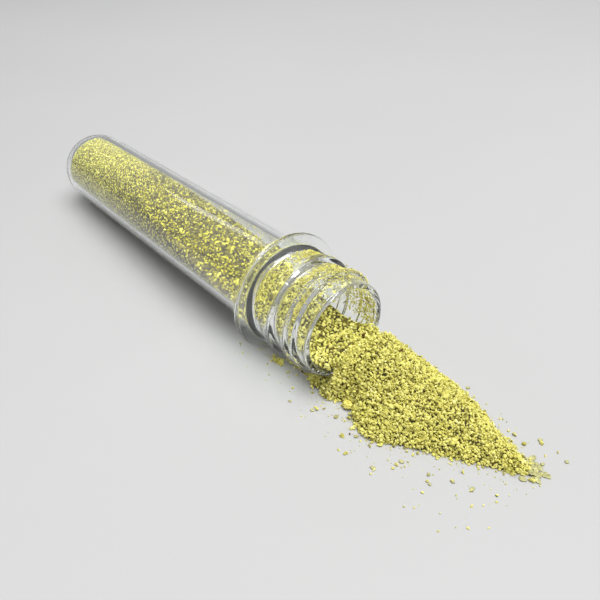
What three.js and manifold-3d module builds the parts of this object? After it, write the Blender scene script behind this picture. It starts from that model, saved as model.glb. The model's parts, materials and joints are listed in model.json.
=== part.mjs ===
// A clear moulded sample vial lying on its side, with the loose gold grains that it holds and spills.
// Millimetres, +Z up. The vial points along +X and rests on its support flange and its round closed end.
// The origin is under the middle of the whole object, on the surface that it lies on.
import * as THREE from "three";
import { mergeVertices } from "three/addons/utils/BufferGeometryUtils.js";
import Module from "manifold-3d";

const wasm = await Module();
wasm.setup();

// Driving dimensions of the vial, measured along its axis from the lip.
const VIAL_LENGTH = 143.4;
const LIP_RADIUS = 12.47;
const BORE_RADIUS_LIP = 10.87;
const BORE_RADIUS_END = 10.3;
const BODY_RADIUS_NECK = 12.67;
const BODY_RADIUS_END = 12.3;
const END_WALL = 2.1;
const FLANGE_RADIUS = 16.5;
const FLANGE_BACK = 22.8;
const FLANGE_RIM = 1.5;
const FLANGE_HUB = 2.3;
const BEAD_RADIUS = 14;
const BEAD_FRONT = 12.3;
const BEAD_WIDTH = 2.2;
const BEAD_SLOPE = 1.1;
const NECK_STEP = 0.4;
const CHAMFER = 0.4;
const GATE_RADIUS = 1.6;
const GATE_HEIGHT = 0.5;

// The screw thread: right-handed, one start, run out to nothing by a taper at both ends.
const THREAD_RADIUS = 13.7;
const THREAD_PITCH = 3.18;
const THREAD_TURNS = 1.75;
const THREAD_FIRST = 2.5;
const THREAD_ROOT_WIDTH = 2.3;
const THREAD_CREST_WIDTH = 0.9;
const THREAD_TAPER = Math.PI / 5;
const THREAD_SINK = 0.3;
const THREAD_STEPS = 96;

const ROUND_SIDES = 64;
const END_STEPS = 12;

// How the vial lies: its axis falls from the flange to the smaller closed end.
const TILT = Math.asin((FLANGE_RADIUS - BODY_RADIUS_END) / (VIAL_LENGTH - BODY_RADIUS_END - FLANGE_BACK));

// The grains in the vial: the free surface's height above the table, from the closed end to the lip.
// Each pair is [X from the lip, height at the vial's middle]. The surface also rises a little to +Y.
// The grains end just inside the lip.
const CHARGE_CLEARANCE = 0.42;
const CHARGE_FRONT = 0.1;
const CHARGE_SIDE_SLOPE = 0.12;
const CHARGE_LEVELS = [
  [-150, 32],
  [-99, 24.4],
  [-79, 20.7],
  [-46, 16.9],
  [-29, 13.6],
  [-16, 10.9],
  [-9, 10.5],
  [6, 11.8],
];
const BELOW_TABLE = -5;

// The heap: stations along X, each with its near edge, far edge, crest place and crest height.
// The fullness is the power of the curve from the crest to the near edge: more is rounder and steeper.
const HEAP_BACK = 2.8;
const HEAP_STATIONS = [
  { x: HEAP_BACK, near: -5.9, far: 19.6, crest: 8.6, height: 13, fullness: 3 },
  { x: 4.2, near: -4.8, far: 19.8, crest: 8.8, height: 12.7, fullness: 2.8 },
  { x: 5.4, near: -2.9, far: 19.9, crest: 8.9, height: 12.4, fullness: 2.6 },
  { x: 8.4, near: -2.8, far: 20.1, crest: 9.1, height: 11.6, fullness: 2.4 },
  { x: 9.8, near: -5.4, far: 20.2, crest: 9.2, height: 11.3, fullness: 2.3 },
  { x: 12, near: -6.9, far: 20.3, crest: 9.3, height: 10.8, fullness: 2.1 },
  { x: 15, near: -7.7, far: 20.3, crest: 9.5, height: 10.1, fullness: 1.9 },
  { x: 19, near: -7.1, far: 20.2, crest: 9.8, height: 9.1, fullness: 1.8 },
  { x: 22, near: -4.9, far: 20, crest: 10.1, height: 8.5, fullness: 1.7 },
  { x: 24.5, near: -2.9, far: 19.7, crest: 10.3, height: 7.9, fullness: 1.7 },
  { x: 30, near: 0.6, far: 18.3, crest: 10.8, height: 6.4, fullness: 1.7 },
  { x: 34, near: 3.1, far: 16.6, crest: 11.2, height: 5.1, fullness: 1.7 },
  { x: 38, near: 5.8, far: 15.4, crest: 11.5, height: 3.9, fullness: 1.7 },
  { x: 42, near: 7.9, far: 14.6, crest: 11.9, height: 2.8, fullness: 1.7 },
  { x: 45, near: 9.8, far: 13.9, crest: 12.2, height: 1.9, fullness: 1.7 },
  { x: 46.6, near: 11.3, far: 13.4, crest: 12.4, height: 1.2, fullness: 1.7 },
];
const HEAP_STEPS_ACROSS = 20;
const HEAP_STEPS_ALONG = 40;
const HEAP_FAR_FULLNESS = 1.7;
const HEAP_EDGE_HEIGHT = 0.35;

// The low apron of grains that has crept back under the neck. Its near edge lies under the neck.
const APRON = { fromX: -17.2, toX: HEAP_BACK + 1, nearBack: -4.6, nearFront: -4.4, farY: 6 };
const APRON_HEIGHT = 1.9;
const APRON_CORNER = 2.6;

// Single pieces on the table: place, size and turn. A nugget is a lump, the others are thin flakes.
const NUGGET = { x: 7, y: -4.75, radius: 1.5, slimness: 0.86, flatness: 0.72 };
const TIP_FLAKES = [
  { x: 47.3, y: 9.7, size: 2.6, turn: 20 },
  { x: 48.8, y: 13.7, size: 3, turn: 75 },
  { x: 47.8, y: 16.8, size: 1.7, turn: 140 },
];
const LOOSE_FLAKES = [
  { x: 2.4, y: -12.1, size: 2.3, turn: 10 },
  { x: 7.6, y: -8.9, size: 2, turn: 60 },
  { x: 15.3, y: -9.5, size: 2.2, turn: 100 },
  { x: 24.2, y: -13, size: 2, turn: 35 },
  { x: 26.9, y: -6.9, size: 1.9, turn: 150 },
  { x: 33.3, y: -4.8, size: 1.7, turn: 80 },
  { x: 35.2, y: -6.8, size: 1.4, turn: 40 },
  { x: 37.9, y: -2.4, size: 1.6, turn: 15 },
  { x: 41.9, y: -0.5, size: 2.3, turn: 120 },
  { x: 43.4, y: 22.4, size: 2.1, turn: 50 },
  { x: 50.62, y: 21.4, size: 1.7, turn: 5 },
  { x: 21.5, y: 23.4, size: 2, turn: 65 },
  { x: 11.3, y: 23.3, size: 1.6, turn: 130 },
  { x: -3.6, y: -14.2, size: 1.5, turn: 25 },
];
const FLAKE = { thickness: 0.45, sides: 7, unevenness: 0.18, slimness: 0.75 };

const CLEAR_PLASTIC = { color: 0xe8efef, roughness: 0.08, metalness: 0 };
const GOLD_GRAINS = { color: 0xdccf70, roughness: 0.7, metalness: 0.15 };
const GOLD_FLAKE = { color: 0xd6c978, roughness: 0.45, metalness: 0.3 };

// A geometry with its positions only, so that vertices at one place can be merged.
function bare(geometry) {
  const copy = geometry.clone();
  copy.deleteAttribute("normal");
  copy.deleteAttribute("uv");
  return copy;
}

// A closed geometry as a solid that can be joined and cut.
function solidOf(geometry) {
  const merged = mergeVertices(bare(geometry), 1e-4);
  const mesh = new wasm.Mesh({
    numProp: 3,
    vertProperties: new Float32Array(merged.attributes.position.array),
    triVerts: new Uint32Array(merged.index.array),
  });
  mesh.merge();
  return new wasm.Manifold(mesh);
}

function geometryOf(solid) {
  const { vertProperties, triVerts } = solid.getMesh();
  const geometry = new THREE.BufferGeometry();
  geometry.setAttribute("position", new THREE.BufferAttribute(vertProperties, 3));
  geometry.setIndex(new THREE.BufferAttribute(triVerts, 1));
  geometry.computeVertexNormals();
  return geometry;
}

function namedMesh(name, geometry, look) {
  const mesh = new THREE.Mesh(geometry, new THREE.MeshStandardMaterial(look));
  mesh.name = name;
  return mesh;
}

// A lathe about the vial's axis. Profile points are [distance back from the lip, radius].
// The result runs along X with the lip at x = 0.
function turned(points) {
  const profile = points.map(([back, radius]) => new THREE.Vector2(radius, -back));
  const lathe = new THREE.LatheGeometry(profile, ROUND_SIDES);
  lathe.rotateZ(-Math.PI / 2);
  return lathe;
}

// A quarter circle from the wall of a round end to its pole.
function roundEnd(centre, radius) {
  return Array.from({ length: END_STEPS }, (_, i) => {
    const angle = ((i + 1) / END_STEPS) * (Math.PI / 2);
    const atPole = i === END_STEPS - 1;
    return [centre + radius * Math.sin(angle), atPole ? 0 : radius * Math.cos(angle)];
  });
}

// The outside, from the lip back over the bead, the flange and the round end to its gate mark.
function outerProfile() {
  const flangeFront = FLANGE_BACK - FLANGE_RIM;
  const hubFront = FLANGE_BACK - FLANGE_HUB;
  const beadBack = BEAD_FRONT + BEAD_WIDTH;
  const endCentre = VIAL_LENGTH - BODY_RADIUS_END;
  return [
    [0, LIP_RADIUS - CHAMFER],
    [CHAMFER, LIP_RADIUS],
    [BEAD_FRONT - BEAD_SLOPE, LIP_RADIUS],
    [BEAD_FRONT + CHAMFER, BEAD_RADIUS],
    [beadBack - CHAMFER, BEAD_RADIUS],
    [beadBack, BEAD_RADIUS - CHAMFER],
    [beadBack, LIP_RADIUS + NECK_STEP],
    [hubFront - BEAD_SLOPE, LIP_RADIUS + NECK_STEP],
    [hubFront, BEAD_RADIUS],
    [flangeFront, FLANGE_RADIUS - CHAMFER],
    [flangeFront + CHAMFER, FLANGE_RADIUS],
    [FLANGE_BACK - CHAMFER, FLANGE_RADIUS],
    [FLANGE_BACK, FLANGE_RADIUS - CHAMFER],
    [FLANGE_BACK, BODY_RADIUS_NECK + CHAMFER],
    [FLANGE_BACK + 2 * CHAMFER, BODY_RADIUS_NECK],
    [endCentre, BODY_RADIUS_END],
    ...roundEnd(endCentre, BODY_RADIUS_END).filter(([, radius]) => radius > GATE_RADIUS + CHAMFER),
    [VIAL_LENGTH, GATE_RADIUS],
    [VIAL_LENGTH + GATE_HEIGHT, GATE_RADIUS - CHAMFER],
    [VIAL_LENGTH + GATE_HEIGHT, 0],
  ];
}

// The inside from the flange to the pole of the round end, drawn in by an even inset.
function boreProfile(inset) {
  const centre = VIAL_LENGTH - END_WALL - BORE_RADIUS_END;
  const endRadius = BORE_RADIUS_END - inset;
  return [[FLANGE_BACK, BORE_RADIUS_LIP - inset], [centre, endRadius], ...roundEnd(centre, endRadius)];
}

function vialWall() {
  const mouth = [[0, BORE_RADIUS_LIP + CHAMFER / 2], [CHAMFER, BORE_RADIUS_LIP]];
  return turned([...outerProfile().reverse(), ...mouth, ...boreProfile(0)]);
}

// The thread: a four-sided section swept along a helix, sunk a little into the neck's wall.
function threadRidge() {
  const sweep = THREAD_TURNS * 2 * Math.PI;
  const root = LIP_RADIUS - THREAD_SINK;
  const lowest = root + THREAD_SINK / 4;
  const rings = Array.from({ length: THREAD_STEPS + 1 }, (_, step) => {
    const angle = (step / THREAD_STEPS) * sweep;
    const fromEnd = Math.min(angle, sweep - angle);
    const rise = Math.sin((Math.min(fromEnd / THREAD_TAPER, 1) * Math.PI) / 2);
    const crest = lowest + (THREAD_RADIUS - lowest) * rise;
    const back = THREAD_FIRST + (angle / (2 * Math.PI)) * THREAD_PITCH;
    const section = [
      [-THREAD_ROOT_WIDTH / 2, root],
      [-THREAD_CREST_WIDTH / 2, crest],
      [THREAD_CREST_WIDTH / 2, crest],
      [THREAD_ROOT_WIDTH / 2, root],
    ];
    return section.map(([along, radius]) => [
      -(back + along),
      radius * Math.cos(angle),
      -radius * Math.sin(angle),
    ]);
  });
  return closedLoft(rings);
}

// A closed skin over rings of equal length, with a flat cap at each end.
function closedLoft(rings) {
  const around = rings[0].length;
  const last = rings.length - 1;
  const index = [];
  for (let ring = 0; ring < last; ring++) {
    for (let k = 0; k < around; k++) {
      const a = ring * around + k;
      const b = ring * around + ((k + 1) % around);
      index.push(a, b, b + around, a, b + around, a + around);
    }
  }
  for (let k = 1; k < around - 1; k++) {
    index.push(0, k + 1, k);
    index.push(last * around, last * around + k, last * around + k + 1);
  }
  const geometry = new THREE.BufferGeometry();
  geometry.setAttribute("position", new THREE.Float32BufferAttribute(rings.flat(2), 3));
  geometry.setIndex(index);
  return facingOut(geometry);
}

// Turns the faces round if the closed geometry's volume comes out negative.
function facingOut(geometry) {
  const p = geometry.attributes.position;
  const index = geometry.index.array;
  const [a, b, c] = [new THREE.Vector3(), new THREE.Vector3(), new THREE.Vector3()];
  let volume = 0;
  for (let i = 0; i < index.length; i += 3) {
    a.fromBufferAttribute(p, index[i]);
    b.fromBufferAttribute(p, index[i + 1]);
    c.fromBufferAttribute(p, index[i + 2]);
    volume += a.dot(b.cross(c));
  }
  if (volume < 0) {
    for (let i = 0; i < index.length; i += 3) {
      [index[i + 1], index[i + 2]] = [index[i + 2], index[i + 1]];
    }
  }
  return geometry;
}

function vialTube() {
  const joined = solidOf(vialWall()).add(solidOf(threadRidge()));
  const tube = namedMesh("vial_tube", geometryOf(joined), CLEAR_PLASTIC);
  tube.applyMatrix4(layingDown());
  return tube;
}

// Lays a geometry on the vial's axis down: lip to +X, flange and closed end touching z = 0.
function layingDown() {
  const height = FLANGE_RADIUS * Math.cos(TILT) + FLANGE_BACK * Math.sin(TILT);
  return new THREE.Matrix4().makeRotationY(-TILT).setPosition(0, 0, height);
}

// Everything under the free surface of the grains in the vial, as wide as the flange.
function underFreeSurface() {
  const first = CHARGE_LEVELS[0][0];
  const last = CHARGE_LEVELS.at(-1)[0];
  const outline = CHARGE_LEVELS.map(([x, z]) => new THREE.Vector2(x, z));
  outline.push(new THREE.Vector2(last, BELOW_TABLE), new THREE.Vector2(first, BELOW_TABLE));
  const block = new THREE.ExtrudeGeometry(new THREE.Shape(outline), {
    depth: 2 * FLANGE_RADIUS,
    bevelEnabled: false,
  });
  block.rotateX(Math.PI / 2);
  block.translate(0, FLANGE_RADIUS, 0);
  block.applyMatrix4(new THREE.Matrix4().makeShear(0, 0, 0, CHARGE_SIDE_SLOPE, 0, 0));
  return solidOf(block);
}

// The grains inside: the bore's shape less a clearance, laid down and cut off at the free surface.
function goldInVial() {
  const front = [[CHARGE_FRONT, 0], [CHARGE_FRONT, BORE_RADIUS_LIP - CHARGE_CLEARANCE]];
  const filled = turned([...front, ...boreProfile(CHARGE_CLEARANCE)]);
  filled.applyMatrix4(layingDown());
  const charge = solidOf(facingOut(mergeVertices(bare(filled)))).intersect(underFreeSurface());
  return namedMesh("gold_in_vial", geometryOf(charge), GOLD_GRAINS);
}

// A value between the heap's stations, smooth along X.
function heapAt(x) {
  const keys = ["near", "far", "crest", "height", "fullness"];
  const curves = keys.map((key) => {
    const points = HEAP_STATIONS.map((station) => new THREE.Vector3(station.x, station[key], 0));
    return new THREE.CatmullRomCurve3(points, false, "centripetal");
  });
  let low = 0;
  while (low < HEAP_STATIONS.length - 2 && HEAP_STATIONS[low + 1].x < x) low++;
  const span = HEAP_STATIONS[low + 1].x - HEAP_STATIONS[low].x;
  const t = (low + (x - HEAP_STATIONS[low].x) / span) / (HEAP_STATIONS.length - 1);
  return Object.fromEntries(keys.map((key, i) => [key, curves[i].getPoint(t).y]));
}

// One cross-section of the heap: a flat base, then the rounded back from the near to the far edge.
function heapSection(x) {
  const { near, far, crest, height, fullness } = heapAt(x);
  const section = [[x, far, 0], [x, near, 0]];
  for (let step = 0; step <= HEAP_STEPS_ACROSS; step++) {
    const y = near + ((far - near) * step) / HEAP_STEPS_ACROSS;
    const nearDrop = Math.max((crest - y) / (crest - near), 0) ** fullness;
    const farDrop = Math.max((y - crest) / (far - crest), 0) ** HEAP_FAR_FULLNESS;
    const rise = 1 - Math.min(nearDrop + farDrop, 1);
    section.push([x, y, HEAP_EDGE_HEIGHT + (height - HEAP_EDGE_HEIGHT) * rise]);
  }
  return section;
}

function heapRidge() {
  const start = HEAP_STATIONS[0].x;
  const end = HEAP_STATIONS.at(-1).x;
  const rings = Array.from({ length: HEAP_STEPS_ALONG + 1 }, (_, step) =>
    heapSection(start + ((end - start) * step) / HEAP_STEPS_ALONG),
  );
  return closedLoft(rings);
}

// A flat slab with its two back corners rounded, reaching a little way into the heap.
function apron() {
  const { fromX, toX, nearBack, nearFront, farY } = APRON;
  const corner = APRON_CORNER;
  const outline = new THREE.Shape();
  outline.moveTo(toX, nearFront + corner);
  outline.lineTo(toX, farY);
  outline.lineTo(fromX + corner, farY);
  outline.absarc(fromX + corner, farY - corner, corner, Math.PI / 2, Math.PI, false);
  outline.lineTo(fromX, nearBack + corner);
  outline.absarc(fromX + corner, nearBack + corner, corner, Math.PI, Math.PI * 1.5, false);
  outline.lineTo(toX - corner, nearFront);
  return new THREE.ExtrudeGeometry(outline, { depth: APRON_HEIGHT, bevelEnabled: false, curveSegments: 6 });
}

function goldHeap() {
  const heap = solidOf(heapRidge()).add(solidOf(apron()));
  return namedMesh("gold_heap", geometryOf(heap), GOLD_GRAINS);
}

function nugget() {
  const lump = new THREE.IcosahedronGeometry(NUGGET.radius, 1);
  lump.scale(1, NUGGET.slimness, NUGGET.flatness);
  lump.computeBoundingBox();
  lump.translate(NUGGET.x, NUGGET.y, -lump.boundingBox.min.z);
  return namedMesh("nugget", lump, GOLD_FLAKE);
}

// A thin flake with an uneven many-sided outline, lying flat.
function flake(name, { x, y, size, turn }) {
  const outline = Array.from({ length: FLAKE.sides }, (_, k) => {
    const angle = (k / FLAKE.sides) * 2 * Math.PI;
    const radius = (size / 2) * (1 - FLAKE.unevenness + FLAKE.unevenness * Math.cos(3 * angle + x));
    return new THREE.Vector2(radius * Math.cos(angle), FLAKE.slimness * radius * Math.sin(angle));
  });
  const plate = new THREE.ExtrudeGeometry(new THREE.Shape(outline), {
    depth: FLAKE.thickness,
    bevelEnabled: false,
  });
  const mesh = namedMesh(name, plate, GOLD_FLAKE);
  mesh.rotation.z = THREE.MathUtils.degToRad(turn);
  mesh.position.set(x, y, 0);
  return mesh;
}

function numbered(prefix, flakes) {
  return flakes.map((piece, i) => flake(`${prefix}_${String(i + 1).padStart(2, "0")}`, piece));
}

const laidOut = new THREE.Group();
laidOut.add(vialTube(), goldInVial(), goldHeap(), nugget());
laidOut.add(...numbered("tip_flake", TIP_FLAKES), ...numbered("loose_flake", LOOSE_FLAKES));

// The origin goes under the middle of the whole object's box.
const box = new THREE.Box3().setFromObject(laidOut, true);
const middle = box.getCenter(new THREE.Vector3());
laidOut.position.set(-middle.x, -middle.y, -box.min.z);

const vial = new THREE.Group();
vial.add(laidOut);

export default vial;
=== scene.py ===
"""A clear sample vial on its side, with loose gold grains in it and in front of it."""

import json
import math

import bmesh
import bpy
import numpy as np
from mathutils import Matrix, Vector, noise

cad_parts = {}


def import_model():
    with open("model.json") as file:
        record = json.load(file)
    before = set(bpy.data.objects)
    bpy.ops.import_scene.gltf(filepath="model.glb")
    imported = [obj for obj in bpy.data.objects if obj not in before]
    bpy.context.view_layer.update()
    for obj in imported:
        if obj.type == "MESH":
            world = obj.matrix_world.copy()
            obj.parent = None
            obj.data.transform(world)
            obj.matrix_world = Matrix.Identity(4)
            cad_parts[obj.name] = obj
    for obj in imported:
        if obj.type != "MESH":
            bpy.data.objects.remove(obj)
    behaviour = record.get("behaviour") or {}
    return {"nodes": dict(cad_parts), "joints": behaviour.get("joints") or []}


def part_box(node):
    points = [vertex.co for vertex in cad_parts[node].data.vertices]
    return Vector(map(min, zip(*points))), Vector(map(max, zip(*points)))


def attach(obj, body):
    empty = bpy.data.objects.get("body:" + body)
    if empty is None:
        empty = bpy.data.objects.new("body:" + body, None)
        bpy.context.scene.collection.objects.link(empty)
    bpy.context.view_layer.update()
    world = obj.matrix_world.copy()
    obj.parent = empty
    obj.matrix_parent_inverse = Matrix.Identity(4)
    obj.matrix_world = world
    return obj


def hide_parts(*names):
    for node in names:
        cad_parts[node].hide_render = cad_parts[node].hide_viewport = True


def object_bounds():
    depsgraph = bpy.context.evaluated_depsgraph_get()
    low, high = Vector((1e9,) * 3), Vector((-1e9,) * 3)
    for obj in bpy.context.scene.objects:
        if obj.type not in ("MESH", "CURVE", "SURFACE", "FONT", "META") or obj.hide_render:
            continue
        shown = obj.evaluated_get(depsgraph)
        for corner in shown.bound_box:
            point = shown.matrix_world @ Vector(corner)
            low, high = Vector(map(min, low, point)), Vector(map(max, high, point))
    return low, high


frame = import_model()
cad_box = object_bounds()
rng = np.random.default_rng(20)

MM = 0.001

# The vial's own sizes in millimetres. "Back" is the distance back from the lip along the axis.
VIAL_LENGTH = 143.4
LIP_RADIUS = 12.47
BORE_RADIUS_LIP = 10.87
BORE_RADIUS_END = 10.3
BODY_RADIUS_NECK = 12.67
BODY_RADIUS_END = 12.3
END_WALL = 2.1
FLANGE_RADIUS = 16.5
FLANGE_BACK = 22.8
FLANGE_RIM = 1.5
FLANGE_HUB = 2.3
BEAD_RADIUS = 14.0
BEAD_FRONT = 12.3
BEAD_WIDTH = 2.2
BEAD_SLOPE = 1.1
NECK_STEP = 0.4
GATE_RADIUS = 1.6
GATE_TOP_RADIUS = 0.9
GATE_HEIGHT = 0.5
THREAD_RADIUS = 13.7
THREAD_PITCH = 3.18
THREAD_TURNS = 1.75
THREAD_FIRST = 2.5
THREAD_ROOT_HALF = 1.15
THREAD_CREST_HALF = 0.5
THREAD_TAPER = math.pi / 5
THREAD_ZONE = (0.6, 11.0)
PARTING_ANGLES = (62.0, 238.0)
PARTING_HEIGHT = 0.09
PARTING_HALF_DEG = 0.7
SIDES = 192
END_ROWS = 22

# Centres of the round closed end, outside and in the bore.
END_CENTRE = VIAL_LENGTH - BODY_RADIUS_END
BORE_CENTRE = VIAL_LENGTH - END_WALL - BORE_RADIUS_END

roll = next(joint for joint in frame["joints"] if joint["name"] == "roll")
LIP = np.array(roll["pos_m"], float)
AXIS = np.array(roll["axis"], float)
SIDE = np.array([0.0, 1.0, 0.0])
UP = np.array([-AXIS[2], 0.0, AXIS[0]])


def from_vial(back, side, up):
    """Points of the row frame in metres, from places in the vial in millimetres."""
    back, side, up = (np.asarray(v, float)[..., None] for v in (back, side, up))
    return LIP + (side * SIDE + up * UP - back * AXIS) * MM


def to_vial(points):
    """Back, side and up in millimetres, from points of the row frame in metres."""
    away = (np.asarray(points) - LIP) / MM
    return -(away @ AXIS), away @ SIDE, away @ UP


def mesh_object(name, verts, faces, smooth=False):
    mesh = bpy.data.meshes.new(name)
    mesh.from_pydata(np.asarray(verts).tolist(), [], faces)
    mesh.validate()
    if smooth:
        mesh.shade_smooth()
    obj = bpy.data.objects.new(name, mesh)
    bpy.context.scene.collection.objects.link(obj)
    return obj


# ---------------------------------------------------------------- the vial

def rounded(points):
    """A polyline [(back, radius, fillet)] with each corner drawn as a short curve."""
    out = []
    for i, (x, r, fillet) in enumerate(points):
        here = np.array([x, r])
        if not fillet or i in (0, len(points) - 1):
            out.append(here)
            continue
        before = np.array(points[i - 1][:2]) - here
        after = np.array(points[i + 1][:2]) - here
        start = here + before / np.linalg.norm(before) * min(fillet, np.linalg.norm(before) * 0.49)
        end = here + after / np.linalg.norm(after) * min(fillet, np.linalg.norm(after) * 0.49)
        for t in np.linspace(0, 1, 5):
            out.append(start * (1 - t) ** 2 + here * 2 * t * (1 - t) + end * t * t)
    return out


def stepped(points, longest):
    """More points on the long straight stretches; longest(back) is the largest step there."""
    out = [points[0]]
    for a, b in zip(points, points[1:]):
        size = np.linalg.norm(b - a)
        count = max(1, math.ceil(size / longest((a[0] + b[0]) / 2)))
        out += [a + (b - a) * k / count for k in range(1, count + 1)]
    return out


def round_end(centre, radius):
    """From the wall to the pole of a round end, without the pole itself."""
    angles = np.arange(1, END_ROWS) / END_ROWS * math.pi / 2
    return [np.array([centre + radius * math.sin(a), radius * math.cos(a)]) for a in angles]


def thread_rise(back, angle):
    """How far the screw thread stands out of the neck there."""
    sweep = THREAD_TURNS * 2 * math.pi
    rise = 0.0
    for turn in range(math.ceil(THREAD_TURNS)):
        along = angle + turn * 2 * math.pi
        if along > sweep:
            continue
        off = abs(back - (THREAD_FIRST + along / (2 * math.pi) * THREAD_PITCH))
        flank = min(max((THREAD_ROOT_HALF - off) / (THREAD_ROOT_HALF - THREAD_CREST_HALF), 0), 1)
        taper = math.sin(min(min(along, sweep - along) / THREAD_TAPER, 1) * math.pi / 2)
        rise = max(rise, (THREAD_RADIUS - LIP_RADIUS) * taper * flank * flank * (3 - 2 * flank))
    return rise


def column_angles():
    """Angles of the vertex columns, with three close ones at each parting line."""
    even = [k * 360 / SIDES for k in range(SIDES)]
    near = [a for a in even if all(abs(a - p) > PARTING_HALF_DEG * 1.4 for p in PARTING_ANGLES)]
    lines = [p + d for p in PARTING_ANGLES for d in (-PARTING_HALF_DEG, 0, PARTING_HALF_DEG)]
    return sorted(near + lines)


def outer_rows():
    """The tube's outside from the lip to the gate mark, as (back, radius)."""
    hub_front = FLANGE_BACK - FLANGE_HUB
    flange_front = FLANGE_BACK - FLANGE_RIM
    bead_back = BEAD_FRONT + BEAD_WIDTH
    neck = LIP_RADIUS + NECK_STEP
    corners = [
        (0, BORE_RADIUS_LIP + 0.8, 0),
        (0, LIP_RADIUS, 0.55),
        (BEAD_FRONT - BEAD_SLOPE, LIP_RADIUS, 0.5),
        (BEAD_FRONT, BEAD_RADIUS, 0.5),
        (bead_back, BEAD_RADIUS, 0.5),
        (bead_back, neck, 0.45),
        (hub_front - BEAD_SLOPE, neck, 0.5),
        (hub_front, BEAD_RADIUS, 0.6),
        (flange_front, FLANGE_RADIUS, 0.5),
        (FLANGE_BACK, FLANGE_RADIUS, 0.5),
        (FLANGE_BACK, BODY_RADIUS_NECK, 0.3),
        (END_CENTRE, BODY_RADIUS_END, 0),
    ]

    def longest(back):
        if THREAD_ZONE[0] < back < THREAD_ZONE[1]:
            return 0.14
        return 0.7 if back < FLANGE_BACK + 2 else 6.0

    rows = stepped(rounded(corners), longest)
    sphere = [p for p in round_end(END_CENTRE, BODY_RADIUS_END) if p[1] > GATE_RADIUS + 0.5]
    gate = [
        (VIAL_LENGTH - 0.12, GATE_RADIUS + 0.35, 0),
        (VIAL_LENGTH, GATE_RADIUS, 0.3),
        (VIAL_LENGTH + GATE_HEIGHT, GATE_TOP_RADIUS, 0.3),
        (VIAL_LENGTH + GATE_HEIGHT, 0.35, 0),
    ]
    return rows + sphere + rounded(gate)


def inner_rows():
    """The bore from the lip to its round end, as (back, radius)."""
    corners = [
        (0, BORE_RADIUS_LIP + 0.8, 0),
        (0, BORE_RADIUS_LIP, 0.6),
        (FLANGE_BACK, BORE_RADIUS_LIP, 0),
        (BORE_CENTRE, BORE_RADIUS_END, 0),
    ]
    rows = stepped(rounded(corners), lambda back: 1.2 if back < FLANGE_BACK else 6.0)
    return rows[1:] + round_end(BORE_CENTRE, BORE_RADIUS_END)


def vial_tube():
    """The whole clear tube as one closed mesh, turned from its outer and inner rows."""
    outer, inner = outer_rows(), inner_rows()
    rows = outer[::-1] + inner
    angles = np.radians(column_angles())
    degrees = np.degrees(angles)
    around = len(angles)
    ridge = sum(
        np.clip(1 - abs(degrees - line) / (PARTING_HALF_DEG * 0.9), 0, 1) for line in PARTING_ANGLES
    )
    verts, faces = [], []
    for i, (back, radius) in enumerate(rows):
        reach = np.full(around, radius)
        if i < len(outer):
            if THREAD_ZONE[0] < back < THREAD_ZONE[1]:
                reach += [thread_rise(back, a) for a in angles]
            if 0.3 < back <= FLANGE_BACK + 0.5:
                reach += ridge * PARTING_HEIGHT
        side, up = reach * np.cos(angles), -reach * np.sin(angles)
        verts += from_vial(np.full(around, back), side, up).tolist()
    for row in range(len(rows) - 1):
        for k in range(around):
            a, b = row * around + k, row * around + (k + 1) % around
            faces.append((a, b, b + around, a + around))
    outer_pole = (0, VIAL_LENGTH + GATE_HEIGHT, True)
    inner_pole = (len(rows) - 1, VIAL_LENGTH - END_WALL, False)
    for row, back, flip in (outer_pole, inner_pole):
        pole = len(verts)
        verts.append(from_vial(back, 0.0, 0.0).tolist())
        for k in range(around):
            a, b = row * around + k, row * around + (k + 1) % around
            faces.append((b, a, pole) if flip else (a, b, pole))
    tube = mesh_object("vial_tube_clear", verts, faces, smooth=True)
    face_out(tube)
    return tube


def face_out(obj):
    """Turns every face of a closed mesh outwards."""
    shape = bmesh.new()
    shape.from_mesh(obj.data)
    bmesh.ops.recalc_face_normals(shape, faces=shape.faces)
    shape.to_mesh(obj.data)
    shape.free()


# ---------------------------------------------------------------- crumbs of gold

def hull(points):
    """The convex hull of some points, as vertices and faces."""
    shape = bmesh.new()
    for p in points:
        shape.verts.new(p)
    bmesh.ops.convex_hull(shape, input=shape.verts)
    bmesh.ops.delete(shape, geom=[v for v in shape.verts if not v.link_faces], context="VERTS")
    bmesh.ops.recalc_face_normals(shape, faces=shape.faces)
    shape.verts.index_update()
    verts = np.array([v.co[:] for v in shape.verts])
    faces = [[v.index for v in f.verts] for f in shape.faces]
    shape.free()
    return verts, faces


def round_points(count):
    """Points spread evenly over a sphere of radius 1."""
    k = np.arange(count) + 0.5
    lift = 1 - 2 * k / count
    turn = k * math.pi * (3 - math.sqrt(5))
    ring = np.sqrt(1 - lift * lift)
    return np.stack([ring * np.cos(turn), ring * np.sin(turn), lift], axis=1)


def crumb_shapes(count, corners, flatness):
    """Angular crumbs about 1 across. Each is the hull of uneven points round an ellipsoid."""
    shapes = []
    for _ in range(count):
        points = round_points(corners)
        points += rng.normal(0, 0.28, points.shape)
        points *= rng.uniform(0.68, 1.22, (corners, 1)) * 0.5
        points *= [1.0, rng.uniform(0.68, 1.0), rng.uniform(*flatness)]
        shapes.append(hull(points))
    return shapes


def lumpy_shapes(count, corners, flatness):
    """Crumbs with hollows between small lumps, about 1 across."""
    ways, sides = hull(round_points(corners))
    shapes = []
    for _ in range(count):
        shift = Vector(rng.uniform(-50, 50, 3).tolist())
        bulge = np.array([noise.noise(Vector(w) * 1.7 + shift) for w in ways.tolist()])
        reach = np.clip(0.46 + 0.42 * bulge + rng.normal(0, 0.05, len(ways)), 0.2, 0.66)
        shape = ways * reach[:, None] * [1.0, rng.uniform(0.7, 1.0), rng.uniform(*flatness)]
        shapes.append((shape, sides))
    return shapes


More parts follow.
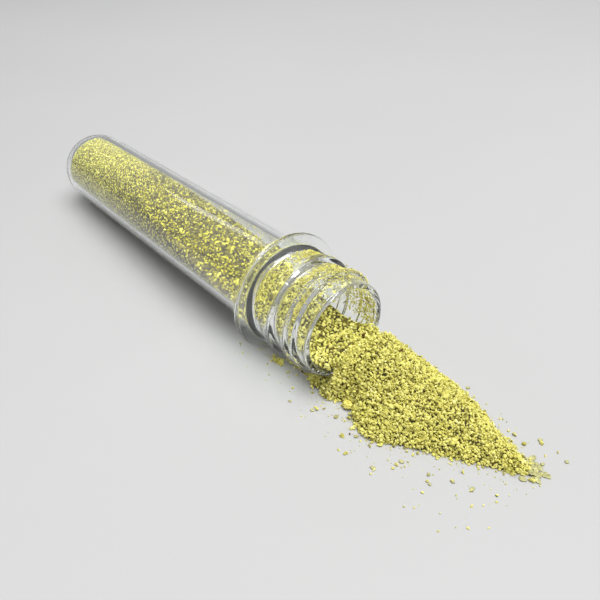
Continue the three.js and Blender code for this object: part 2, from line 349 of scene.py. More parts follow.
COARSE = lumpy_shapes(30, 24, (0.6, 0.95)) + crumb_shapes(14, 10, (0.4, 0.8))
FINE = crumb_shapes(30, 8, (0.45, 0.9))
FLAT = crumb_shapes(14, 12, (0.14, 0.24))


def random_turns(count):
    """Evenly random rotation matrices."""
    q = rng.normal(size=(count, 4))
    w, x, y, z = (q / np.linalg.norm(q, axis=1, keepdims=True)).T
    rows = [
        [1 - 2 * (y * y + z * z), 2 * (x * y - z * w), 2 * (x * z + y * w)],
        [2 * (x * y + z * w), 1 - 2 * (x * x + z * z), 2 * (y * z - x * w)],
        [2 * (x * z - y * w), 2 * (y * z + x * w), 1 - 2 * (x * x + y * y)],
    ]
    return np.array(rows).transpose(2, 0, 1)


def flat_turns(count):
    """Rotation matrices that spin a flake and tip it a little from lying flat."""
    spin = rng.uniform(0, 2 * math.pi, count)
    lean = rng.normal(0, 0.22, count)
    way = rng.uniform(0, 2 * math.pi, count)
    turns = [
        Matrix.Rotation(a, 3, Vector((math.cos(c), math.sin(c), 0))) @ Matrix.Rotation(b, 3, "Z")
        for a, b, c in zip(lean, spin, way)
    ]
    return np.array([[list(row) for row in turn] for turn in turns])


def scatter(name, points, sizes, shapes, limit=None, keep=None, turns=None):
    """One object of many crumbs, turned at random if turns isn't given.

    limit moves vertices into a space, and keep drops the crumbs outside one.
    """
    turns = random_turns(len(points)) if turns is None else turns
    which = rng.integers(len(shapes), size=len(points))
    verts, faces, start = [], [], 0
    for k, (shape, sides) in enumerate(shapes):
        chosen = np.flatnonzero(which == k)
        placed = np.einsum("nij,vj->nvi", turns[chosen], shape) * (sizes[chosen, None, None] * MM)
        placed += points[chosen][:, None, :]
        if keep is not None:
            placed = placed[[keep(p) for p in placed]]
        if limit is not None:
            placed = limit(placed.reshape(-1, 3)).reshape(placed.shape)
        for block in placed:
            verts.append(block)
            faces += [[start + v for v in side] for side in sides]
            start += len(block)
    return mesh_object(name, np.concatenate(verts), faces)


def spaced(points, gap):
    """Indices of the points that keep clear of those kept before them, by a gap for each in metres."""
    cell = float(np.max(gap))
    grid, kept = {}, []
    keys = np.floor(points / cell).astype(int)
    around = [(i, j, k) for i in (-1, 0, 1) for j in (-1, 0, 1) for k in (-1, 0, 1)]
    for i, (p, key) in enumerate(zip(points.tolist(), keys.tolist())):
        cells = ((key[0] + d[0], key[1] + d[1], key[2] + d[2]) for d in around)
        near = (q for at in cells for q in grid.get(at, ()))
        least = gap[i] ** 2
        if all((p[0] - q[0]) ** 2 + (p[1] - q[1]) ** 2 + (p[2] - q[2]) ** 2 >= least for q in near):
            grid.setdefault(tuple(key), []).append(p)
            kept.append(i)
    return np.array(kept)


def vertices_of(node):
    """A CAD node's vertices in metres."""
    mesh = frame["nodes"][node].data
    place = np.empty(len(mesh.vertices) * 3)
    mesh.vertices.foreach_get("co", place)
    return place.reshape(-1, 3)


def on_surface(node, count):
    """Random points on a CAD node's faces, with the faces' normals."""
    mesh = frame["nodes"][node].data
    mesh.calc_loop_triangles()
    corner = np.empty(len(mesh.loop_triangles) * 3, int)
    mesh.loop_triangles.foreach_get("vertices", corner)
    a, b, c = vertices_of(node)[corner.reshape(-1, 3)].transpose(1, 0, 2)
    across = np.cross(b - a, c - a)
    area = np.linalg.norm(across, axis=1)
    pick = rng.choice(len(area), count, p=area / area.sum())
    u, v = rng.random((2, count, 1))
    over = u + v > 1
    u, v = np.where(over, 1 - u, u), np.where(over, 1 - v, v)
    return a[pick] + (b - a)[pick] * u + (c - a)[pick] * v, across[pick] / area[pick][:, None]


def lumps(points, scale, seed):
    """Smooth noise from -1 to 1 at each point."""
    shift = Vector((seed * 7.3, seed * 3.1, seed * 5.7))
    return np.array([noise.noise(Vector(p) / (scale * MM) + shift) for p in points.tolist()])


# The grains keep this far from the bore's wall, and the dust on the wall lies in that gap.
WALL_GAP = 0.22


def bore_radius(back):
    """The bore's radius in millimetres, without its round end."""
    taper = np.clip((back - FLANGE_BACK) / (BORE_CENTRE - FLANGE_BACK), 0, 1)
    return BORE_RADIUS_LIP + (BORE_RADIUS_END - BORE_RADIUS_LIP) * taper


def inside_bore(points):
    """Moves points that would enter the vial's wall back inside the bore."""
    back, side, up = to_vial(points)
    beyond = np.maximum(back - BORE_CENTRE, 0)
    reach = np.hypot(np.hypot(side, up), beyond)
    shrink = np.minimum(1, (bore_radius(back) - WALL_GAP) / np.maximum(reach, 1e-9))
    back = np.where(beyond > 0, BORE_CENTRE + beyond * shrink, back)
    return from_vial(back, side * shrink, up * shrink)


# The largest radius that the vial has at places back from the lip, with a little room round it.
OUTLINE = [
    (-0.15, 0), (-0.1, 12.8), (0.4, 14.25), (7.6, 14.25), (8.2, 13.1), (11, 13.1), (11.6, 14.6),
    (15, 14.6), (15.6, 13.5), (19, 13.5), (19.6, 16.9), (23.1, 16.9), (23.4, 13.0), (140, 13.0),
]
# A crumb that reaches further below the table than this is dropped. The others are cut off flat above it.
LOWEST = -0.6 * MM
FLOOR_GAP = 0.02 * MM


def clear_of_vial(block):
    """Whether a crumb of the heap stays off the vial and doesn't reach far below the table."""
    back, side, up = to_vial(block)
    outside = np.hypot(side, up) > np.interp(back, *zip(*OUTLINE))
    return bool(np.all(outside) and block[:, 2].min() > LOWEST)


def above_table(points):
    points = points.copy()
    points[:, 2] = np.maximum(points[:, 2], FLOOR_GAP)
    return points


# Sizes of grains in millimetres, and how many of them are large.
LARGE_SHARE = 0.012
LARGE_SIZES = (1.5, 2.0)
LARGEST_COMMON = 1.7


def grain_sizes(count, typical):
    """Sizes in millimetres: most near the typical one, and a few much larger."""
    common = np.minimum(typical * rng.lognormal(0, 0.26, count), LARGEST_COMMON)
    return np.where(rng.random(count) < LARGE_SHARE, rng.uniform(*LARGE_SIZES, count), common)


# Where the CAD heap's back end is, in millimetres in front of the lip.
HEAP_START = 2.8
# How far back the grains in the bore rise to the heap's height.
MOUTH_DEPTH = 6.0
# The grains lie this much below the heap's top edge at the mouth.
TOP_MARGIN = 0.2
# From FINE_FROM back the grains in the vial get finer, over FINE_LENGTH.
FINE_FROM = 45
FINE_LENGTH = 70
# Crumbs are made this much larger than they are spaced, so that they touch.
CHARGE_OVERSIZE = 1.12
HEAP_OVERSIZE = 1.15
LIP_OVERSIZE = 1.08
# Where the heap's far tip is, where its scales and the clump beside the neck are, and how far these spread.
# Each is along from the lip and across.
HEAP_TIP = (45.6, 12.4)
SCALES = ((46.9, 13.4), (1.5, 1.7))
CLUMP = ((-17.4, -7.3), (1.3, 0.7))


def heap_top():
    """The heap's back end: places across it and its height there, in metres."""
    place = vertices_of("gold_heap")
    at_end = abs(place[:, 0] - (LIP[0] + HEAP_START * MM)) < 0.05 * MM
    edge = place[at_end & (place[:, 2] > 0.2 * MM)]
    edge = edge[np.argsort(edge[:, 1])]
    return edge[:, 1], edge[:, 2]


def mouth_level(side):
    """The height in millimetres of the grains' surface at the lip, at places across the vial."""
    place = vertices_of("gold_in_vial")
    back, across, _ = to_vial(place)
    near = back < 0.5
    order = np.argsort(across[near])
    across, height = across[near][order], place[near][order, 2] / MM
    on_top = height > height.max() - 2.4
    (left, right), (first, last) = across[on_top][[0, -1]], height[on_top][[0, -1]]
    return first + (last - first) / (right - left) * (side - left)


def far_bank(side):
    """From 0 to 1 towards the far side of the mouth, where the grains bank up."""
    return np.clip((side - 7.2) / 3.0, 0, 1)


def charge_layer():
    """The top layer of the grains in the vial: places, sizes, and how far back each one is."""
    points, normals = on_surface("gold_in_vial", 90000)
    back = to_vial(points)[0]
    fineness = np.clip((back - FINE_FROM) / FINE_LENGTH, 0, 1)
    size = (0.98 - 0.34 * fineness) * rng.lognormal(0, 0.24, len(points))
    kept = spaced(points, (0.86 - 0.12 * fineness) * size * MM)
    hollows_until = 100 - 25 * rng.random(len(kept))
    in_lump = lumps(points[kept], 1.25, 3) > 0.34
    kept = kept[~(in_lump & (back[kept] > 22) & (back[kept] < hollows_until))]
    points, normals, size, back = points[kept], normals[kept], size[kept], back[kept]
    rise = rng.uniform(-0.16, 0.26, len(points)) + 0.25 * np.maximum(lumps(points, 4, 1), 0)
    return points + normals * rise[:, None] * MM, size, back


def mouth_filling():
    """Grains that fill the bore near the lip and rise there to the heap's height: places and sizes."""
    count = 9000
    back = rng.uniform(-0.75, MOUTH_DEPTH, count)
    side = rng.uniform(-10.4, 10.4, count)
    up = rng.uniform(-10.4, 2, count)
    points = from_vial(back, side, up)
    heap_height = np.interp(points[:, 1], *heap_top()) / MM
    blend = np.clip(1 - back / MOUTH_DEPTH, 0, 1)
    level = mouth_level(side)
    level = level + np.maximum(heap_height - TOP_MARGIN - level, 0) * blend
    level = level + 2.6 * blend * far_bank(side)
    depth = level - points[:, 2] / MM
    deepest = np.where(back < 0.5, 6, 1.8)
    inside = (np.hypot(side, up) < BORE_RADIUS_LIP - 0.5) & (depth > 0.15) & (depth < deepest)
    points, size = points[inside], grain_sizes(inside.sum(), 0.85)
    kept = spaced(points, 0.5 * size * MM)
    return points[kept], size[kept]


def charge_grains():
    """The grains in the vial, in lengths along it: fine at the closed end and coarse at the neck."""
    points, size, back = charge_layer()
    filling, filling_size = mouth_filling()
    points = np.concatenate([points, filling])
    size = np.concatenate([size, filling_size])
    back = np.concatenate([back, np.full(len(filling), -1.0)])
    edges = [-5, 24, 48, 70, 92, 116, 150]
    made = []
    for k, (near, far) in enumerate(zip(edges, edges[1:])):
        part = (back >= near) & (back < far)
        shapes = COARSE if near < 30 else FINE
        name = f"charge_grains_{k + 1}"
        large = size[part] * CHARGE_OVERSIZE
        made.append(scatter(name, points[part], large, shapes, limit=inside_bore))
    return made


def heap_grains():
    """The grains on the heap: a full lower layer in three lengths, and loose ones on it."""
    points, normals = on_surface("gold_heap", 42000)
    kept = (normals[:, 2] > -0.2) & (points[:, 2] > 0.1 * MM)
    points, normals = points[kept], normals[kept]
    size = grain_sizes(len(points), 0.84)
    kept = spaced(points, 0.56 * size * MM)
    points, normals, size = points[kept], normals[kept], size[kept]
    bump = lumps(points, 3.5, 2)
    rise = rng.uniform(-0.1, 0.25, len(points)) + 0.35 * np.maximum(bump, 0)
    lower = points + normals * rise[:, None] * MM
    lower[:, 2] = np.maximum(lower[:, 2], size * 0.3 * MM)

    top = rng.random(len(points)) < np.clip(0.5 + 0.7 * bump, 0.2, 0.9)
    upper = lower[top] + normals[top] * (rng.uniform(0.3, 0.6, top.sum())[:, None] * MM)
    upper += rng.normal(0, 0.2, upper.shape) * MM
    upper_size = size[top] * rng.uniform(0.65, 1.1, top.sum())
    rules = {"limit": above_table, "keep": clear_of_vial}
    made = [scatter("heap_grains_upper", upper, upper_size, COARSE, **rules)]
    edges = np.quantile(lower[:, 0], [0, 1 / 3, 2 / 3])
    part = np.searchsorted(edges, lower[:, 0], side="right")
    for k in (1, 2, 3):
        here = part == k
        large = size[here] * HEAP_OVERSIZE
        made.append(scatter(f"heap_grains_lower_{k}", lower[here], large, COARSE, **rules))
    return made


# The near edge of the spill by the lip: millimetres along from the lip, and across.
SPILL_EDGE = [
    (-9.5, -3.9), (-7.4, -5.3), (-5.5, -6.3), (-3.7, -7.3), (-1.9, -6.3),
    (0.3, -7.4), (2.0, -7.2), (3.4, -5.4), (4.6, -4.9),
]


def talus_grains():
    """Grains that join the heap to those in the mouth, and run back beside and under the neck."""
    count = 30000
    along = rng.uniform(-9.5, 4.6, count)
    side = rng.uniform(-7.6, 19.8, count)
    y = LIP[1] + side * MM
    top = np.interp(y, *heap_top(), left=0, right=0) / MM
    edge = np.interp(along, *zip(*SPILL_EDGE)) + 0.25 * np.sin(along * 2.3)

    # Between the lip and the heap the surface goes from the level in the mouth to the heap's top.
    level = np.maximum(mouth_level(side) + 1.6 * far_bank(side), top - TOP_MARGIN)
    share = np.clip(along / HEAP_START, 0, 1)
    slope_up = 2.5 * (side - edge)
    height = np.minimum(top * share + level * (1 - share), slope_up)
    # Behind the lip it sinks away beside the neck, and past the vial's far side it falls off steeply.
    height = np.where(along < -0.1, np.minimum(height, 5.2 + 0.42 * along), height)
    far_slope = np.minimum(top, 13) - 1.35 * np.maximum(HEAP_START - along, 0)
    height = np.where(side > 10.4, far_slope, height)
    height = height - rng.uniform(0, 1.25, count)

    by_mouth = (along < 3.2) | (side < -3.6)
    by_neck = (along > -6.5) | (side < 5)
    good = (height > 0.25) & by_mouth & by_neck
    points = np.stack([LIP[0] + along * MM, y, height * MM], axis=1)[good]
    size = grain_sizes(len(points), 0.9)
    gap = np.where(points[:, 2] < 4.5 * MM, 0.7, 0.58)
    kept = spaced(points, gap * size * MM)
    points, size = points[kept], size[kept] * LIP_OVERSIZE
    return scatter("heap_grains_at_lip", points, size, COARSE, limit=above_table, keep=clear_of_vial)


def near_table(count, middle, spread):
    """Random places on the table in metres, round a middle given in millimetres from the lip."""
    places = rng.normal([*middle, 0], [*spread, 0], (count, 3)) * MM
    return places + [LIP[0], LIP[1], 0]


def fringe_grains():
    """Single grains and specks that lie round the heap, more of them close to it."""
    low, high = cad_box
    count = 9500
    x = rng.uniform(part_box("gold_heap")[0].x - 12 * MM, high[0] - 0.8 * MM, count)
    y = rng.uniform(low[1] + MM, high[1] - MM, count)
    points = np.stack([x, y, np.zeros(count)], axis=1)
    around, _ = on_surface("gold_heap", 5000)
    around = around[around[:, 2] < 0.5 * MM][:, :2]
    away = np.array([np.min(np.hypot(*(around - p[:2]).T)) for p in points]) / MM
    chance = 0.5 * np.exp(-away / 1.0) + 0.07 * np.exp(-away / 7) + 0.022
    good = rng.random(count) < chance
    points, away = points[good], away[good]
    close = away < 1.4
    size = np.where(close, 0.75, 0.34) * rng.lognormal(0, 0.4, len(points))
    larger = ~close & (rng.random(len(points)) < 0.12)
    size = np.where(larger, rng.uniform(0.7, 1.3, len(points)), size)
    size = np.minimum(size, 1.5)

    clump = near_table(46, *CLUMP)
    points = np.concatenate([points, clump])
    size = np.concatenate([size, grain_sizes(len(clump), 0.8)])
    points[:, 2] = size * 0.27 * MM
    return scatter("fringe_grains", points, size, FINE + COARSE, limit=above_table, keep=clear_of_vial)


def tip_scales():
    """The thin dull flakes that lie over each other at the heap's far tip."""
    count = 34
    points = near_table(count, *SCALES)
    heap_end = LIP[:2] + np.array(HEAP_TIP) * MM
    away = np.hypot(*(points[:, :2] - heap_end).T) / MM
    points[:, 2] = np.interp(away, [0.5, 3.0], [1.5, 0.25]) * rng.uniform(0.6, 1.0, count) * MM
    size = rng.uniform(1.0, 2.1, count)
    return scatter("tip_scales", points, size, FLAT, limit=above_table, turns=flat_turns(count))


def neck_rise(back, angle):
    """How far the neck's outside stands out past the lip's radius. Angles go from +Y towards up."""
    if BEAD_FRONT - BEAD_SLOPE / 2 < back < BEAD_FRONT + BEAD_WIDTH:
        return BEAD_RADIUS - LIP_RADIUS
    return NECK_STEP if back > BEAD_FRONT else thread_rise(back, -angle % (2 * math.pi))


def in_wall_gap(verts):
    """Flattens dust into the gap between the grains and the bore's wall."""
    back, side, up = to_vial(verts)
    radius = np.hypot(side, up)
    middle = bore_radius(back) - WALL_GAP / 2
    shrink = (middle + np.clip((radius - middle) * 0.35, -0.06, 0.08)) / radius
    return from_vial(back, side * shrink, up * shrink)


def bore_dust():
    """Flecks that cling to the empty part of the bore, most of them near the mouth."""
    by_mouth, on_wall, further = 1950, 550, 400
    count = by_mouth + on_wall + further
    back = np.concatenate([
        rng.uniform(0.4, 24, by_mouth),
        rng.gamma(1.6, 3.0, on_wall) + 0.3,
        rng.gamma(2.0, 16, further) + 14,
    ])
    low_down = rng.random(count) < 0.45
    angle = np.where(low_down, rng.normal(25, 28, count), rng.normal(95, 55, count)) % 360
    angle[by_mouth:by_mouth + on_wall] = rng.normal(2, 15, on_wall) % 360
    under_grains = (angle > 205) & (angle < 335)
    good = (back < 92) & ~under_grains
    back, angle = back[good], np.radians(angle[good])
    radius = bore_radius(back) - WALL_GAP / 2
    size = 0.42 * rng.lognormal(0, 0.45, len(back))
    points = from_vial(back, radius * np.cos(angle), radius * np.sin(angle))
    return scatter("dust_in_bore", points, size, FINE, limit=in_wall_gap)


def outside_dust():
    """Dust in patches on the outside of the neck, most of it between the ridges."""
    patches, count = 44, 2900
    hollows = [3.9, 5.9, 7.3, 9.6, 10.9, 15.4, 16.6, 18.4]
    back = rng.choice(hollows, patches) + rng.normal(0, 0.4, patches)
    angle = rng.normal(70, 42, patches)
    which = rng.integers(patches, size=count)
    back = back[which] + rng.normal(0, 0.55, count)
    angle = np.radians(angle[which] + rng.normal(0, 13, count))
    size = np.minimum(0.34 * rng.lognormal(0, 0.4, count), 0.62)
    rise = np.array([neck_rise(b, a) for b, a in zip(back, angle)])
    radius = LIP_RADIUS + rise + size * 0.2
    points = from_vial(back, radius * np.cos(angle), radius * np.sin(angle))
    good = (back > 0.5) & (back < 19.2)
    return scatter("dust_on_neck", points[good], size[good], FINE)


# ---------------------------------------------------------------- nugget and flakes

def nugget_mesh():
    """The one larger rounded lump, in the place of its plain solid."""
    low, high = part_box("nugget")
    centre, half = (low + high) / 2, (high - low) / 2
    shape = bmesh.new()
    bmesh.ops.create_icosphere(shape, subdivisions=5, radius=1)
    for v in shape.verts:
        p = v.co.copy()
        big = noise.noise(p * 1.3 + Vector((4, 1, 9))) * 0.2
        shift = Vector((2, 7, 3))
        knobs = noise.cell(p * 2.6 + shift) * 0.12 + abs(noise.noise(p * 3.4 + shift)) * 0.4
        pits = noise.noise(p * 8 + Vector((8, 2, 5))) * 0.1
        p *= min(0.74 + big + knobs + pits, 1.0)
        v.co = centre + Vector((p.x * half.x, p.y * half.y, p.z * half.z))
        v.co.z = max(v.co.z, FLOOR_GAP)
    verts = [v.co[:] for v in shape.verts]
    faces = [[v.index for v in f.verts] for f in shape.faces]
    shape.free()
    return mesh_object("nugget_lump", verts, faces, smooth=True)


def chip_outline(seed, around):
    """How far an uneven many-cornered chip reaches each way, from 0 to 1."""
    draw = np.random.default_rng(seed)
    corners = draw.integers(6, 9)
    turn = (np.arange(corners) + draw.uniform(-0.3, 0.3, corners)) / corners * 2 * math.pi
    reach = draw.uniform(0.62, 1.0, corners)
    reach[draw.integers(corners)] = 1.0
    x, y = reach * np.cos(turn), reach * np.sin(turn)
    out = []
    for k in range(around):
        way = np.array([math.cos(k / around * 2 * math.pi), math.sin(k / around * 2 * math.pi)])
        hits = []
        for i in range(corners):
            a, b = np.array([x[i], y[i]]), np.array([x[(i + 1) % corners], y[(i + 1) % corners]])
            edge = b - a
            across = way[0] * edge[1] - way[1] * edge[0]
            if abs(across) > 1e-9:
                far = (a[0] * edge[1] - a[1] * edge[0]) / across
                along = (a[0] * way[1] - a[1] * way[0]) / across
                if far > 0 and -1e-6 <= along <= 1 + 1e-6:
                    hits.append(far)
        out.append(min(max(hits), 1.0) if hits else 0.7)
    return out


def flake_mesh(node, seed):
    """A thin curled chip with an uneven rounded edge, in the place of its plain solid."""
    low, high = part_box(node)
    centre, half = (low + high) / 2, (high - low) / 2
    thick = high.z - low.z
    rings, around = 7, 36
    outline = chip_outline(seed, around)
    verts, faces = [], []
    for face in (1, -1):
        for ring in range(rings + (1 if face > 0 else 0)):
            share = (ring + 0.001) / rings
            for k in range(around):
                angle = k / around * 2 * math.pi
                way = Vector((math.cos(angle), math.sin(angle), 0))
                frill = 1 - 0.07 * (1 + noise.noise(way * 5 + Vector((0, seed * 2.3, 0))))
                p = way * share * outline[k] * frill
                bulge = math.sqrt(max(1 - share ** 4, 0)) * 0.5
                curl = 0.3 * (p.x * math.cos(seed) + p.y * math.sin(seed)) ** 2
                rough = 0.16 * noise.noise(Vector((p.x * 4, p.y * 4, seed + face)))
                z = 0.34 + curl + (bulge + rough * bulge * 1.6) * face * 0.55
                height = max(low.z + z * thick, FLOOR_GAP / 2)
                verts.append((centre.x + p.x * half.x, centre.y + p.y * half.y, height))
    first_under = (rings + 1) * around

    def at(face, ring, k):
        """The index of a vertex. Both faces share the outermost ring."""
        if face < 0 and ring == rings:
            return rings * around + k % around
        return (0 if face > 0 else first_under) + ring * around + k % around

    for ring in range(rings):
        for k in range(around):
            top = (ring, k), (ring + 1, k), (ring + 1, k + 1), (ring, k + 1)
            under = (ring, k), (ring, k + 1), (ring + 1, k + 1), (ring + 1, k)
            faces.append(tuple(at(1, *corner) for corner in top))
            faces.append(tuple(at(-1, *corner) for corner in under))
    faces.append(tuple(at(1, 0, k) for k in range(around)))
    faces.append(tuple(at(-1, 0, k) for k in reversed(range(around))))
    obj = mesh_object(f"{node}_shape", verts, faces, smooth=True)
    face_out(obj)
    return obj


# ---------------------------------------------------------------- materials

def new_material(name):
    material = bpy.data.materials.new(name)
    material.use_nodes = True
    nodes, links = material.node_tree.nodes, material.node_tree.links
    nodes.clear()
    output = nodes.new("ShaderNodeOutputMaterial")
    shader = nodes.new("ShaderNodeBsdfPrincipled")
    links.new(shader.outputs[0], output.inputs["Surface"])
    return material, nodes, links, shader, output


def add(nodes, kind, values=(), **settings):
    node = nodes.new("ShaderNode" + kind)
    for key, value in settings.items():
        setattr(node, key, value)
    for key, value in dict(values).items():
        node.inputs[key].default_value = value
    return node


def ramp(nodes, links, source, stops):
    """A colour ramp on a socket. A stop's colour is a tuple, or one number for a grey."""
    node = nodes.new("ShaderNodeValToRGB")
    while len(node.color_ramp.elements) < len(stops):
        node.color_ramp.elements.new(0.5)
    for element, (place, colour) in zip(node.color_ramp.elements, stops):
        element.position = place
        element.color = (*colour, 1) if isinstance(colour, tuple) else (colour, colour, colour, 1)
    links.new(source, node.inputs["Fac"])
    return node.outputs["Color"]


def noise_of(nodes, links, coords, scale, detail=3.0, rough=0.55):
    node = add(nodes, "TexNoise", {"Scale": scale, "Detail": detail, "Roughness": rough})
    links.new(coords, node.inputs["Vector"])
    return node.outputs["Fac"]


def mixed(nodes, links, kind, factor, one, two):
    """A colour mix. factor, one and two are sockets or plain values."""
    node = add(nodes, "Mix", data_type="RGBA", blend_type=kind)
    for index, value in ((0, factor), (6, one), (7, two)):
        if isinstance(value, bpy.types.NodeSocket):
            links.new(value, node.inputs[index])
        else:
            node.inputs[index].default_value = value if index == 0 else (*value, 1)
    return node.outputs[2]


def bumped(nodes, links, shader, height, strength, distance, invert=False):
    """Gives the shader a bump from a height socket; distance is in millimetres."""
    bump = add(nodes, "Bump", {"Strength": strength, "Distance": distance * MM}, invert=invert)
    links.new(height, bump.inputs["Height"])
    links.new(bump.outputs["Normal"], shader.inputs["Normal"])


def share_along(nodes, links, coords, start, end):
    """From 0 at one place along X to 1 at another, both in metres."""
    split = add(nodes, "SeparateXYZ")
    links.new(coords, split.inputs[0])
    along = add(nodes, "MapRange", {"From Min": start, "From Max": end})
    links.new(split.outputs["X"], along.inputs["Value"])
    return along.outputs[0]


# Where the grains' colour goes over into the darker one of the coarse grains in the tube, a painted shade
# for grains seen through the plastic, then into that of the closed end.
INTO_TUBE_SHADE = (0.032, 0.008)
INTO_END = (-0.03, -0.085)


def clear_plastic():
    material, nodes, links, shader, output = new_material("clear_moulded_plastic")
    coords = add(nodes, "TexCoord").outputs["Object"]
    haze = noise_of(nodes, links, coords, 160, 4)
    tint = ramp(nodes, links, haze, [(0.3, (0.93, 0.955, 0.945)), (0.7, (0.975, 0.985, 0.98))])
    links.new(tint, shader.inputs["Base Color"])
    smear = noise_of(nodes, links, coords, 620, 5, 0.65)
    rough = ramp(nodes, links, smear, [(0.45, 0.0), (0.65, 0.008), (0.82, 0.04)])
    links.new(rough, shader.inputs["Roughness"])
    shader.inputs["IOR"].default_value = 1.5
    shader.inputs["Transmission Weight"].default_value = 0.98
    bumped(nodes, links, shader, noise_of(nodes, links, coords, 320, 3), 0.025, 0.2)

    # Light reaches what lies in and behind the plastic.
    path = add(nodes, "LightPath")
    through = add(nodes, "BsdfTransparent", {"Color": (0.93, 0.94, 0.93, 1)})
    blend = nodes.new("ShaderNodeMixShader")
    links.new(path.outputs["Is Shadow Ray"], blend.inputs[0])
    links.new(shader.outputs[0], blend.inputs[1])
    links.new(through.outputs[0], blend.inputs[2])
    links.new(blend.outputs[0], output.inputs["Surface"])
    return material


# Colours of single crumbs, from the rare dark ones to the pale ones.
GRAIN_STOPS = [
    (0.0, (0.17, 0.09, 0.03)),
    (0.012, (0.17, 0.145, 0.03)),
    (0.045, (0.40, 0.36, 0.08)),
    (0.14, (0.62, 0.585, 0.14)),
    (0.5, (0.745, 0.71, 0.20)),
    (0.8, (0.79, 0.76, 0.26)),
    (0.93, (0.81, 0.74, 0.21)),
    (0.975, (0.84, 0.81, 0.30)),
    (1.0, (0.86, 0.84, 0.40)),
]
# Darker, more contrasting grain colours for the tube: painted shade on the grains in the vial.
SHADED_TUBE_STOPS = [
    (0.0, (0.07, 0.05, 0.006)),
    (0.16, (0.25, 0.22, 0.02)),
    (0.36, (0.50, 0.46, 0.045)),
    (0.8, (0.70, 0.66, 0.08)),
    (1.0, (0.84, 0.80, 0.18)),
]
END_STOPS = [
    (0.0, (0.42, 0.39, 0.06)),
    (0.2, (0.70, 0.66, 0.10)),
    (0.6, (0.88, 0.84, 0.16)),
    (1.0, (0.94, 0.91, 0.28)),
]


def gold_grains():
    material, nodes, links, shader, _ = new_material("gold_grain")
    coords = add(nodes, "TexCoord").outputs["Object"]
    each = add(nodes, "NewGeometry").outputs["Random Per Island"]
    colour = ramp(nodes, links, each, GRAIN_STOPS)
    # Inside the tube the colours go over into the painted-shade ones, and towards the closed end into paler
    # ones.
    for stretch, stops in ((INTO_TUBE_SHADE, SHADED_TUBE_STOPS), (INTO_END, END_STOPS)):
        share = share_along(nodes, links, coords, *stretch)
        colour = mixed(nodes, links, "MIX", share, colour, ramp(nodes, links, each, stops))
    mottle = noise_of(nodes, links, coords, 2600, 3)
    mottle = ramp(nodes, links, mottle, [(0.3, (0.84, 0.82, 0.74)), (0.6, (1.0, 1.0, 1.0))])
    links.new(mixed(nodes, links, "MULTIPLY", 1.0, colour, mottle), shader.inputs["Base Color"])
    rough = noise_of(nodes, links, coords, 1900, 2)
    links.new(ramp(nodes, links, rough, [(0.3, 0.6), (0.7, 0.82)]), shader.inputs["Roughness"])
    shader.inputs["Specular IOR Level"].default_value = 0.15
    bumped(nodes, links, shader, noise_of(nodes, links, coords, 4200, 3), 0.5, 0.08)
    return material


# The grains under the top layer. Their dark colour is painted shade for the gaps between the top crumbs,
# and it is lighter towards the closed end.
SHADED_UNDER_STOPS = [(0.1, (0.05, 0.04, 0.006)), (0.6, (0.17, 0.145, 0.02)), (1.0, (0.28, 0.245, 0.04))]
UNDER_AT_END = (0.34, 0.31, 0.075)


def packed_grains():
    """The grains under the top layer, seen in the gaps between it; their dark colour is painted shade."""
    material, nodes, links, shader, _ = new_material("packed_grains")
    coords = add(nodes, "TexCoord").outputs["Object"]
    cells = add(nodes, "TexVoronoi", {"Scale": 1250.0, "Randomness": 1.0})
    links.new(coords, cells.inputs["Vector"])
    grey = add(nodes, "RGBToBW")
    links.new(cells.outputs["Color"], grey.inputs[0])
    # These dark colours are painted shade in the gaps between the top crumbs.
    colour = ramp(nodes, links, grey.outputs[0], SHADED_UNDER_STOPS)
    share = share_along(nodes, links, coords, *INTO_END)
    colour = mixed(nodes, links, "MIX", share, colour, UNDER_AT_END)
    # Darker towards each cell's edge: painted shade between the packed crumbs.
    edge_shade_stops = [(0.25, (1.0, 1.0, 1.0)), (0.75, (0.3, 0.28, 0.2))]
    edge = ramp(nodes, links, cells.outputs["Distance"], edge_shade_stops)
    links.new(mixed(nodes, links, "MULTIPLY", 1.0, colour, edge), shader.inputs["Base Color"])
    shader.inputs["Roughness"].default_value = 0.85
    bumped(nodes, links, shader, cells.outputs["Distance"], 0.9, 0.3, invert=True)
    return material


def flake_gold(name, low, mid, high):
    """Smoother gold in patches of three shades."""
    material, nodes, links, shader, _ = new_material(name)
    coords = add(nodes, "TexCoord").outputs["Object"]
    patches = noise_of(nodes, links, coords, 900, 5, 0.6)
    colour = ramp(nodes, links, patches, [(0.28, low), (0.5, mid), (0.72, high)])
    links.new(colour, shader.inputs["Base Color"])
    rough = noise_of(nodes, links, coords, 2400, 4)
    links.new(ramp(nodes, links, rough, [(0.3, 0.34), (0.7, 0.6)]), shader.inputs["Roughness"])
    shader.inputs["Metallic"].default_value = 0.15
    shader.inputs["Specular IOR Level"].default_value = 0.5
    bumped(nodes, links, shader, noise_of(nodes, links, coords, 3200, 4), 0.55, 0.1)
    return material


def floor_material():
    material, nodes, links, shader, _ = new_material("studio_floor")
    coords = add(nodes, "TexCoord").outputs["Object"]
    soft = noise_of(nodes, links, coords, 3, 3)
    grey = ramp(nodes, links, soft, [(0.3, (0.42, 0.42, 0.42)), (0.7, (0.45, 0.45, 0.45))])
    links.new(grey, shader.inputs["Base Color"])
    shader.inputs["Roughness"].default_value = 0.7
    return material


# ---------------------------------------------------------------- putting it together

def dress(obj, material, body):
    """Gives an object its material, and the body that it belongs to."""
    obj.data.materials.clear()
    obj.data.materials.append(material)
    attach(obj, body)


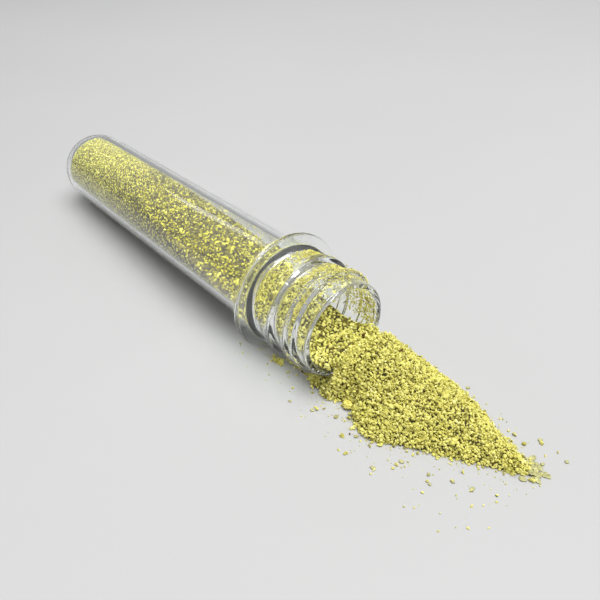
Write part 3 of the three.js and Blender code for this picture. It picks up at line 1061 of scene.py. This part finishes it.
GRAINS = gold_grains()
SHADED_UNDER = packed_grains()
DULL_FLAKE = flake_gold(
    "flake_gold_dull", (0.25, 0.24, 0.09), (0.40, 0.39, 0.17), (0.56, 0.54, 0.25))
BRIGHT_GOLD = flake_gold(
    "nugget_gold", (0.60, 0.52, 0.10), (0.80, 0.72, 0.17), (0.90, 0.83, 0.28))

# The CAD solids under the grains get the dark painted-shade colour of the packed grains.
for node in ("gold_in_vial", "gold_heap"):
    for material_slot in frame["nodes"][node].material_slots:
        material_slot.material = SHADED_UNDER

tube = vial_tube()
dress(tube, clear_plastic(), "vial")
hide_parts("vial_tube")

for obj in charge_grains():
    dress(obj, GRAINS, "charge")
for obj in heap_grains() + [talus_grains(), fringe_grains()]:
    dress(obj, GRAINS, "spill")
scales = tip_scales()
dress(scales, DULL_FLAKE, "spill")
for obj in (bore_dust(), outside_dust()):
    dress(obj, GRAINS, "vial")

lump = nugget_mesh()
dress(lump, BRIGHT_GOLD, "spill")
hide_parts("nugget")
flakes = sorted(n for n in frame["nodes"] if n.startswith(("tip_flake", "loose_flake")))
for k, node in enumerate(flakes):
    piece = flake_mesh(node, k + 1)
    dress(piece, DULL_FLAKE, "spill")
    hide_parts(node)


# ---------------------------------------------------------------- floor, lights and camera

FLOOR_REACH = 3
FLOOR_POINTS = 13


def floor():
    places = np.linspace(-FLOOR_REACH, FLOOR_REACH, FLOOR_POINTS)
    verts, faces = [], []
    for j, y in enumerate(places):
        for i, x in enumerate(places):
            verts.append((x, y, 0))
            if i and j:
                k = len(verts) - 1
                faces.append((k - FLOOR_POINTS - 1, k - FLOOR_POINTS, k, k - 1))
    plane = mesh_object("floor", verts, faces)
    plane.data.materials.append(floor_material())


def area_light(name, place, target, width, height, power):
    data = bpy.data.lights.new(name, "AREA")
    data.shape, data.size, data.size_y, data.energy = "RECTANGLE", width, height, power
    light = bpy.data.objects.new(name, data)
    light.location = place
    light.rotation_euler = (Vector(target) - Vector(place)).to_track_quat("-Z", "Y").to_euler()
    bpy.context.scene.collection.objects.link(light)


def world():
    studio = bpy.data.worlds.new("studio")
    studio.use_nodes = True
    nodes, links = studio.node_tree.nodes, studio.node_tree.links
    coords = nodes.new("ShaderNodeTexCoord")
    split = nodes.new("ShaderNodeSeparateXYZ")
    links.new(coords.outputs["Generated"], split.inputs[0])
    shade = ramp(nodes, links, split.outputs["Z"], [(0.0, (0.55, 0.56, 0.58)), (0.6, (0.9, 0.9, 0.9))])
    links.new(shade, nodes["Background"].inputs["Color"])
    nodes["Background"].inputs["Strength"].default_value = 0.48
    bpy.context.scene.world = studio


def camera():
    azimuth, elevation, distance = math.radians(50.179), math.radians(36.508), 0.1765
    target = Vector((0.022204, 0.002222, 0.010))
    flat = math.cos(elevation)
    way = Vector((math.sin(azimuth) * flat, -math.cos(azimuth) * flat, math.sin(elevation)))
    data = bpy.data.cameras.new("camera")
    data.lens, data.sensor_width, data.clip_start = 38.65, 36, 0.005
    shot = bpy.data.objects.new("camera", data)
    shot.location = target + way * distance
    shot.rotation_euler = (-way).to_track_quat("-Z", "Y").to_euler()
    bpy.context.scene.collection.objects.link(shot)
    bpy.context.scene.camera = shot


floor()
world()
area_light("overhead", (0.25, 0.15, 1.1), (0, 0, 0), 0.9, 0.9, 19)
area_light("strip", (-0.75, 0.6, 0.75), (0, 0, 0.02), 1.2, 0.08, 0.7)
camera()
bpy.context.scene.view_settings.view_transform = "Standard"
